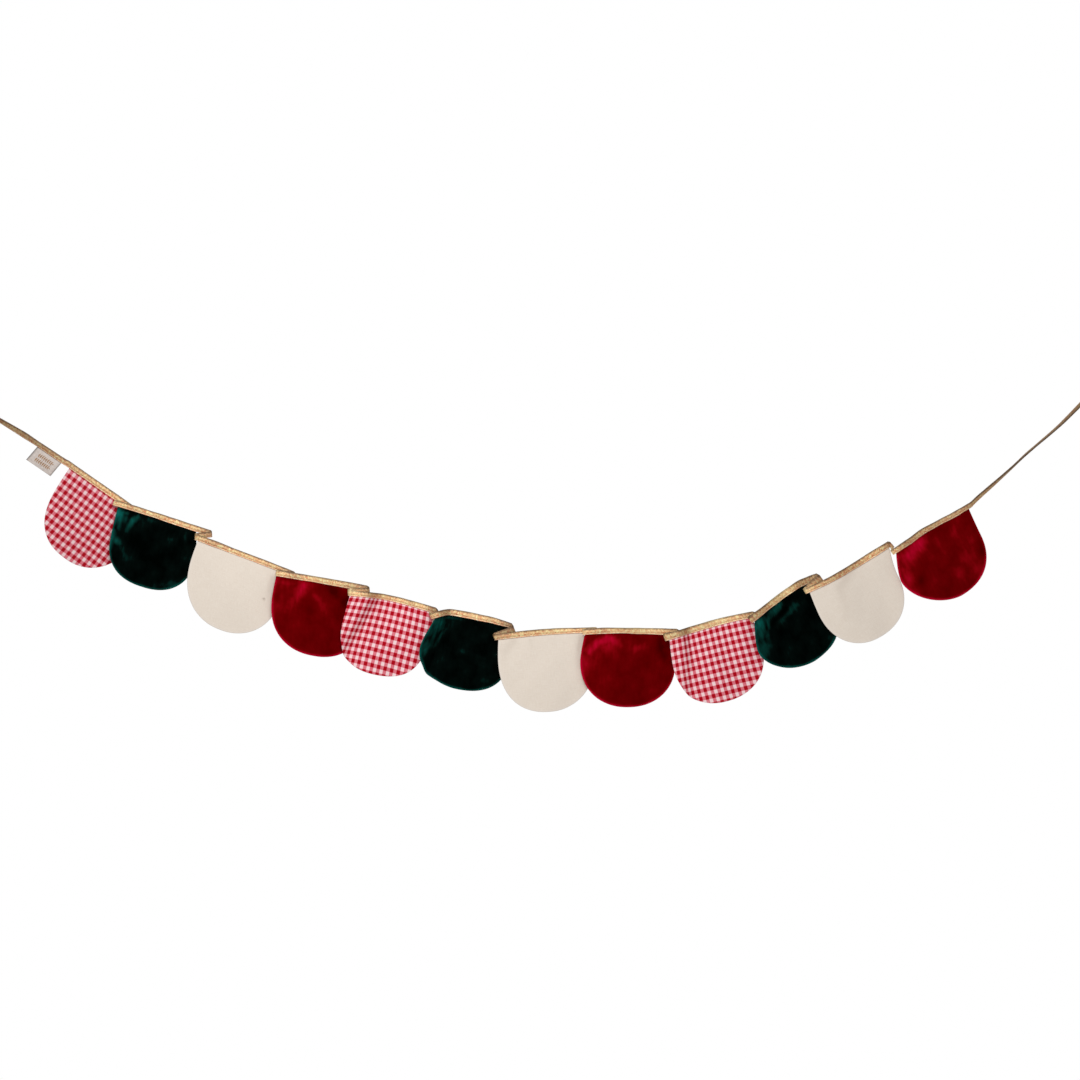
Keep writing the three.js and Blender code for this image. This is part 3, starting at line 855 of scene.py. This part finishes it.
def make_stitches(name, starts, ends, normals, radius):
    """Short stitches of thread, each fullest at its middle and diving into the cloth at both ends."""
    sides = 6
    rings = ((0.04, 0.45), (0.3, 0.95), (0.7, 0.95), (0.96, 0.45))
    tip = 1 + sides * len(rings)
    along = unit(ends - starts)
    side = unit(np.cross(along, normals))
    points, shares = [], []
    for share, size in ((0.0, 0.0), *rings, (1.0, 0.0)):
        middle = mix(starts, ends, share) + normals * radius * (size - 0.6)
        for turn in 2 * math.pi * np.arange(sides if size else 1) / sides:
            offset = side * math.cos(turn) + normals * math.sin(turn)
            points.append(middle + offset * radius * size)
            shares.append(share)
    single = []
    for k in range(sides):
        after = (k + 1) % sides
        single += [(0, 1 + after, 1 + k), (tip, tip - sides + k, tip - sides + after)]
        for low in range(1, tip - sides, sides):
            single.append((low + k, low + after, low + sides + after, low + sides + k))
    count = len(starts)
    faces = [tuple((tip + 1) * i + corner for corner in face) for i in range(count) for face in single]
    places = np.stack([np.tile(shares, count), np.repeat(np.arange(count), tip + 1)], axis=-1)
    made = make_mesh(name, np.stack(points, axis=1).reshape(-1, 3), faces, {"thread": places})
    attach(made, "root")
    return made


def make_seam(course):
    """The straight seam that closes the folded tape over the flags, seen on its front and back."""
    face = unit(np.cross(course.along, course.up))
    height = (THREAD.from_edge - course.tall / 2)[:, None] * course.up
    out = (course.slot / 2 + TAPE.ply - TAPE.pressed + THREAD.radius - THREAD.sunk)[:, None]
    seeded = np.random.default_rng(11)
    starts, ends, normals = [], [], []
    for side in (1, -1):
        line = course.point + height + side * out * face
        length = lengths_along(line)
        first = np.arange(THREAD.ends[0], length[-1] - THREAD.ends[1], THREAD.pitch)
        last = first + THREAD.stitch + seeded.uniform(-THREAD.uneven, THREAD.uneven, len(first))
        starts.append(columns_at(first, length, line))
        ends.append(columns_at(last, length, line))
        normals.append(side * unit(columns_at((first + last) / 2, length, face)))
    placed = [np.concatenate(both_sides) for both_sides in (starts, ends, normals)]
    made = make_stitches("seam_stitches", *placed, THREAD.radius)
    return made


def make_sprigs(front):
    """Two small leafy sprigs in gold thread, worked into the label."""
    start, end, stitch = SPRIG.stem
    near, far, lean = SPRIG.leaf
    strokes = []
    for v in SPRIG.rows:
        strokes += [(u, v, u + stitch, v) for u in np.arange(start, end, SPRIG.pitch)]
        for u in np.arange(*SPRIG.leaves, SPRIG.pitch):
            strokes += [(u, v + side * near, u + lean, v + side * far) for side in (-1, 1)]
    strokes = np.array(strokes)

    def on_label(u, v):
        rows = np.array([columns_at(u, front.u, row) for row in front.points])
        return np.array([columns_at(v[i], front.v, rows[:, i]) for i in range(len(u))])

    starts, ends = on_label(*strokes.T[:2]), on_label(*strokes.T[2:])
    normals = np.broadcast_to(unit(np.mean(front.normals, axis=0)), starts.shape)
    made = make_stitches("label_sprigs", starts, ends, normals, SPRIG.radius)
    return made


run_parts = [run_stations(run) for run in runs]
left_tail = tail_stations(LEFT_TAIL, after=run_parts[0])
right_tail = tail_stations(RIGHT_TAIL, before=run_parts[-1])
course_parts = [left_tail, run_parts[0]]
for before, part, run in zip(run_parts, run_parts[1:], runs[1:]):
    course_parts += [z_fold(station(before, -1), station(part, 0), run), part]
course = joined([*course_parts, right_tail])

tape = make_tape(course)
flags = [make_flag(run) for run in runs]
label_stations = np.flatnonzero(left_tail.slot > LABEL_SLOT - 1e-6)
label, label_front = make_label(left_tail, label_stations)
seam = make_seam(course)
sprigs = make_sprigs(label_front)

# ---- materials


def colour(code):
    """A linear colour from an sRGB hex code."""
    channels = [int(code[i:i + 2], 16) / 255 for i in (1, 3, 5)]
    linear = [c / 12.92 if c <= 0.04045 else ((c + 0.055) / 1.055) ** 2.4 for c in channels]
    return (*linear, 1.0)


def wire(node, inputs):
    """Sets a node's inputs, by name or in order, each to a value or to another node's output. Those of a
    colour mix are its share, 0, and its two colours, 6 and 7, and its colour comes out at 2."""
    for socket, value in inputs.items() if isinstance(inputs, dict) else enumerate(inputs):
        if isinstance(value, bpy.types.NodeSocket):
            node.id_data.links.new(value, node.inputs[socket])
        else:
            node.inputs[socket].default_value = value


def add_node(tree, kind, inputs=(), stops=(), **settings):
    """Adds a node with its settings and links, and gives its outputs. stops: the places and colours on a
    colour ramp, from left to right."""
    node = tree.nodes.new("ShaderNode" + kind)
    for name, value in settings.items():
        setattr(node, name, value)
    if stops:
        ramp = node.color_ramp.elements
        ramp[0].position, ramp[1].position = stops[0][0], stops[-1][0]
        for place, _ in stops[1:-1]:
            ramp.new(place)
        for element, (_, code) in zip(ramp, stops):
            element.color = colour(code)
    wire(node, inputs)
    return node.outputs


def new_material(name, uv=None, *shades):
    """An empty material, the function that adds its nodes, and the map and shades that it reads off its
    mesh."""
    made = bpy.data.materials.new(name)
    made.use_nodes = True
    add = partial(add_node, made.node_tree)
    maps = [add("UVMap", uv_map=uv)["UV"]] if uv else []
    return made, add, *maps, *(add("Attribute", attribute_name=shade)["Fac"] for shade in shades)


def finished(material, inputs):
    wire(material.node_tree.nodes["Principled BSDF"], inputs)
    return material


def velvet(name, tones, edge_highlight_gain):
    """Cut-pile velvet: the pile swallows nearly all light, and its sheen is painted into its colour where
    the flag's strokes lie and along its turned edge, broken into 4.5 by 17 mm streaks that follow the way
    the pile lies, with faint clouds 25 mm wide that differ at random. Its tufts are 0.3 mm apart in life and
    1.1 mm here, which is the finest that still shows. tones: from the darkest pile to the brightest painted
    sheen.
    The last argument: how much of the painted edge highlight shows."""
    made, add, cloth, lift, rim = new_material(name, "cloth", "lift", "rim")
    lying = add("Mapping", {"Vector": cloth, "Rotation": (0, 0, 0.35), "Scale": (0.22, 0.06, 1)})[0]
    streaks = add("TexNoise", {"Vector": lying, "Scale": 1.0, "Detail": 3.0, "Roughness": 0.55})["Fac"]
    mottle = add("TexNoise", {"Vector": cloth, "Scale": 0.04, "Detail": 3.0, "Roughness": 0.5})["Fac"]
    painted_raise = add("Math", [streaks, 0.9, 0.45], operation="MULTIPLY_ADD")[0]
    shown = add("Math", [mottle, 0.52, -0.03], operation="MULTIPLY_ADD")[0]
    # Painted sheen from the strokes and the painted edge highlight, broken by the streaks.
    for part, gain in ((lift, painted_raise), (rim, edge_highlight_gain), (streaks, 0.12)):
        shown = add("Math", [part, gain, shown], operation="MULTIPLY_ADD")[0]
    places = (0.08, 0.22, 0.36, 0.52, 0.74, 1.0)
    pile = add("TexNoise", {"Vector": cloth, "Scale": 0.9, "Detail": 2.0})["Fac"]
    return finished(made, {
        "Base Color": add("ValToRGB", [shown], stops=list(zip(places, tones)))["Color"],
        "Roughness": 0.9,
        "Specular IOR Level": 0.0,
        "Sheen Weight": 0.12,
        "Sheen Roughness": 0.35,
        "Sheen Tint": colour(tones[3]),
        "Normal": add("Bump", {"Height": pile, "Strength": 0.3, "Distance": 0.0005})["Normal"],
    })


def slubs(add, cloth, along):
    """Uneven threads across and down a plain weave, and both together. They are 0.4 mm apart in life and
    0.9 mm here, which is the finest that still shows. along: how soon a thread changes along its length."""
    threads = []
    for scale in ((1.1, along, 1), (along, 1.1, 1)):
        stretched = add("Mapping", {"Vector": cloth, "Scale": scale})[0]
        threads.append(add("TexNoise", {"Vector": stretched, "Scale": 1.0, "Detail": 1.0})["Fac"])
    return *threads, add("Math", threads, operation="ADD")[0]


def gingham():
    """Yarn-dyed cotton: red and white stripes, 4.5 mm wide across and 5.45 mm down, cross in solid red,
    solid white and a paler red where the two yarns mix. Their edges are frayed by the threads' slubs."""
    made, add, cloth, shade = new_material("cotton_gingham_yarn_dyed_plain_weave", "cloth", "lift")
    *threads, both = slubs(add, cloth, 0.12)
    parts = add("SeparateXYZ", [cloth])
    stripes = []
    for axis, half, slub in (("X", 4.5, threads[0]), ("Y", 5.45, threads[1])):
        wave = add("Math", [parts[axis], half], operation="PINGPONG")[0]
        frayed = add("Math", [slub, 0.5, wave], operation="MULTIPLY_ADD")[0]
        edges = {"From Min": half / 2 + 0.65, "From Max": half / 2 + 0.05}
        stripes.append(add("MapRange", {"Value": frayed, **edges})[0])
    dyed = add("Math", stripes, operation="ADD")[0]
    uneven = add("Math", [both, 1.0], operation="SUBTRACT")[0]
    mixed = add("Math", [uneven, 0.7, dyed], operation="MULTIPLY_ADD")[0]
    share = add("MapRange", {"Value": mixed, "From Max": 2.0})[0]
    yarns = add("ValToRGB", [share], stops=((0.05, "#F6D8D9"), (0.5, "#DE7280"), (0.92, "#AD0016")))
    return finished(made, {
        # Painted shade from the strokes, towards dark red-brown: over flag 1 and along the folds of flags 5
        # and 9.
        "Base Color": add("Mix", {0: shade, 6: yarns["Color"], 7: colour("#7A2A30")}, data_type="RGBA")[2],
        "Roughness": 0.85,
        "Specular IOR Level": 0.08,
        "Normal": add("Bump", {"Height": uneven, "Strength": 0.35, "Distance": 0.0004})["Normal"],
    })


def cream_cotton():
    """Plain unbleached cotton: matt, with faint slubs along its threads, a painted highlight along its
    turned edge, and painted shade where the strokes lie, with one small real fleck."""
    name = "cotton_plain_weave_unbleached_cream"
    made, add, cloth, rim, shade = new_material(name, "cloth", "rim", "lift")
    uneven = slubs(add, cloth, 0.1)[-1]
    faint = add("MapRange", {"Value": uneven, "From Min": 0.6, "From Max": 1.4})[0]
    ground = add("Mix", {0: faint, 6: colour("#E1D4C6"), 7: colour("#E9DED1")}, data_type="RGBA")[2]
    # Painted highlight along the turned edge, then painted shade and the real fleck from the strokes.
    turned = add("Math", [rim, 0.3], operation="MULTIPLY")[0]
    with_painted_edge_highlight = add("Mix", {0: turned, 6: ground, 7: colour("#F1E8E2")}, data_type="RGBA")[2]
    return finished(made, {
        "Base Color": add("Mix", {0: shade, 6: with_painted_edge_highlight, 7: colour("#A79788")}, data_type="RGBA")[2],
        "Roughness": 0.9,
        "Specular IOR Level": 0.2,
        "Normal": add("Bump", {"Height": uneven, "Strength": 0.3, "Distance": 0.0004})["Normal"],
    })


def metallic_tape():
    """Knitted tape of gold metal-coated film and rose-gold polyester yarn. Its loops are 0.7 mm in life and
    about 1.5 mm here, which is the finest that still glints one by one; each loop's glint, bright or dark
    brown, is painted into the colour. Across the tape, painted shade darkens the crease on top to olive
    brown and makes a darker line along the seam's pressed groove, and a pale rose painted highlight runs
    along the two lower edges. Along it, painted shade browns the gold and painted highlight brightens it."""
    name = "metallic_tape_knitted_gold_film_and_polyester"
    made, add, ribbon, tone = new_material(name, "ribbon", "tone")
    round_fold = add("Math", [add("SeparateXYZ", [ribbon])["Y"], 0.5], operation="PINGPONG")[0]
    # Across the tape: a pale painted highlight on the lower edges, painted shade in the seam's groove and on
    # the top crease.
    ground = add("ValToRGB", [add("MapRange", {"Value": round_fold, "From Max": 0.5})[0]], stops=(
        (0.13, "#F2CBB6"), (0.19, "#EBC2AA"), (0.25, "#BE9472"), (0.33, "#E2C09A"),
        (0.62, "#E6C49C"), (0.74, "#A08464"), (0.9, "#6E5C44"),
    ))["Color"]
    loops = add("Mapping", {"Vector": ribbon, "Scale": (0.6, 13, 1)})[0]
    glints = add("TexVoronoi", {"Vector": loops, "Scale": 1.0}, voronoi_dimensions="2D")["Color"]
    spark = add("SeparateColor", [glints])
    # Painted glints: each loop lit bright or left dark brown at random.
    painted_glint_colours = add("ValToRGB", [spark[0]], stops=(
        (0, "#5E4838"), (0.35, "#B29A84"), (0.75, "#CAC2AC"), (1, "#F4F2D4"),
    ))["Color"]
    sparkled = add("Mix", {0: 0.75, 6: ground, 7: painted_glint_colours}, data_type="RGBA", blend_type="OVERLAY")[2]
    # Painted shade browns the gold as far as the stations give, and below 0 a painted highlight brightens
    # it.
    painted_shade_gold = add("Mix", {0: tone, 6: sparkled, 7: colour("#5A402D")}, data_type="RGBA")[2]
    new = add("Math", [tone, -1.0], operation="MULTIPLY", use_clamp=True)[0]
    return finished(made, {
        "Base Color": add("Mix", {0: new, 6: painted_shade_gold, 7: colour("#FFE8AE")}, data_type="RGBA")[2],
        "Roughness": 0.45,
        "Metallic": 0.35,
        "Normal": add("Bump", {"Height": spark[1], "Strength": 0.5, "Distance": 0.0005})["Normal"],
    })


def satin():
    """Woven satin ribbon, ivory gone slightly grey: smooth floating threads across it give a soft shine,
    and faint ribs, 0.3 mm apart in life and 1.1 mm here. It looks slightly greyer towards its edges."""
    made, add, cloth = new_material("satin_ribbon_woven_ivory", "cloth")
    parts = add("SeparateXYZ", [cloth])
    ribbing = {"Vector": cloth, "Scale": 0.29, "Distortion": 0.8, "Detail": 1.0, "Detail Scale": 0.6}
    ribs = add("TexWave", ribbing, bands_direction="Y")["Fac"]
    worn = add("TexNoise", {"Vector": cloth, "Scale": 0.28, "Detail": 3.0})["Fac"]
    shown = add("Math", [ribs, 0.35, worn], operation="MULTIPLY_ADD")[0]
    across = add("Math", [parts["X"]], operation="ABSOLUTE")[0]
    edges = [
        add("MapRange", {"Value": place, "From Min": start, "From Max": end, "To Max": 0.08})[0]
        for place, start, end in ((across, 14.0, 18.5), (parts["Y"], 19.0, 24.0))
    ]
    edge = add("Math", edges, operation="MAXIMUM")[0]
    shown = add("Math", [shown, edge], operation="SUBTRACT")[0]
    return finished(made, {
        "Base Color": add("ValToRGB", [shown], stops=(
            (0, "#A79D98"), (0.6, "#C9BDB6"), (1, "#E0D5CC"),
        ))["Color"],
        "Roughness": 0.42,
        "Sheen Weight": 0.15,
        "Normal": add("Bump", {"Height": shown, "Strength": 0.5, "Distance": 0.0004})["Normal"],
    })


def thread(name, dark, light):
    """Spun polyester sewing thread: two plies twisted together, seen as slanting bands of light and dark,
    and no two stitches quite alike."""
    made, add, place = new_material(name, "thread")
    bands = {"Vector": place, "Scale": 1.6, "Distortion": 0.6}
    plies = add("TexWave", bands, bands_direction="DIAGONAL")["Fac"]
    stitch = add("SeparateXYZ", [place])["Y"]
    own = add("TexWhiteNoise", {"W": stitch}, noise_dimensions="1D")["Value"]
    shown = add("Math", [own, 0.5, plies], operation="MULTIPLY_ADD")[0]
    return finished(made, {
        "Base Color": add("ValToRGB", [shown], stops=((0, dark), (1.4 / 1.5, light)))["Color"],
        "Roughness": 0.5,
        "Sheen Weight": 0.2,
        "Normal": add("Bump", {"Height": plies, "Strength": 0.4, "Distance": 0.0001})["Normal"],
    })


FINISHES = {
    "green_velvet": velvet(
        "polyester_velvet_cut_pile_bottle_green",
        ("#000200", "#010302", "#040C0A", "#08322C", "#0A524B", "#10685F"),
        edge_highlight_gain=0.38,
    ),
    "red_velvet": velvet(
        "polyester_velvet_cut_pile_dark_red",
        ("#420000", "#5A0001", "#690104", "#8A0410", "#AC0525", "#C40636"),
        edge_highlight_gain=0.6,
    ),
    "gingham": gingham(),
    "cream_cotton": cream_cotton(),
}
for run, flag in zip(runs, flags):
    flag.data.materials.append(FINISHES[run.cloth])
tape.data.materials.append(metallic_tape())
label.data.materials.append(satin())
seam.data.materials.append(thread("polyester_sewing_thread_old_gold", "#A87848", "#F0CC94"))
sprigs.data.materials.append(thread("polyester_embroidery_thread_gold", "#7C5226", "#B98850"))

# ---- studio


def make_camera(middle, distance, seen):
    """Looks level along +Y. seen: width in view at the middle."""
    view = bpy.data.cameras.new("camera")
    view.sensor_width = 36
    view.lens = view.sensor_width * distance / seen
    camera = in_scene("camera", view)
    camera.location = (middle[0], -distance, middle[2])
    camera.rotation_euler = (math.radians(90), 0, 0)
    scene.camera = camera


def make_light():
    """A white backdrop, half as much light from all round, and a soft box in front and above."""
    world = bpy.data.worlds.new("studio")
    scene.world = world
    world.use_nodes = True
    add, nodes = partial(add_node, world.node_tree), world.node_tree.nodes
    wire(nodes["Background"], {"Color": (1, 1, 1, 1), "Strength": 1.0})
    lit = add("Background", {"Color": (1, 1, 1, 1), "Strength": 0.5})[0]
    seen = add("LightPath")["Is Camera Ray"]
    both = add("MixShader", [seen, lit, nodes["Background"].outputs[0]])[0]
    wire(nodes["World Output"], {"Surface": both})

    lamp = bpy.data.lights.new("soft_box", "AREA")
    lamp.shape = "RECTANGLE"
    lamp.size, lamp.size_y = 0.8, 0.6
    lamp.energy = 10.5
    box = in_scene("soft_box", lamp)
    box.location = (0.6, -1.1, 0.4)
    x, y, z = np.array((0.7, 0, -0.25)) - np.array(box.location)
    box.rotation_euler = (math.atan2(math.hypot(x, y), -z), 0, math.atan2(y, x) - math.pi / 2)


def make_floor():
    """A plain board below the garland, painted matt white: soft and even to the eye, with a faint warm
    mottle where the coat is thinner and the roller's fine stipple."""
    left, right, near, far, height = -1.2, 2.8, -1.5, 1.6, -1.25
    mesh = bpy.data.meshes.new("floor")
    corners = [(left, near, height), (right, near, height), (right, far, height), (left, far, height)]
    mesh.from_pydata(corners, [], [(0, 1, 2, 3)])
    floor = in_scene("floor", mesh)
    made, add = new_material("plywood_board_matt_white_emulsion")
    place = add("TexCoord")["Object"]
    coat = add("TexNoise", {"Vector": place, "Scale": 6.0, "Detail": 4.0})["Fac"]
    roller = add("TexNoise", {"Vector": place, "Scale": 220.0, "Detail": 2.0})["Fac"]
    mesh.materials.append(finished(made, {
        "Base Color": add("Mix", {0: coat, 6: colour("#EFECE7"), 7: colour("#F5F3F0")}, data_type="RGBA")[2],
        "Roughness": 0.8,
        "Normal": add("Bump", {"Height": roller, "Strength": 0.2, "Distance": 0.0005})["Normal"],
    }))


make_camera(middle=(0.7728, 0, -0.1778), distance=5.0, seen=1.512)
make_light()
make_floor()
scene.view_settings.view_transform = "Standard"
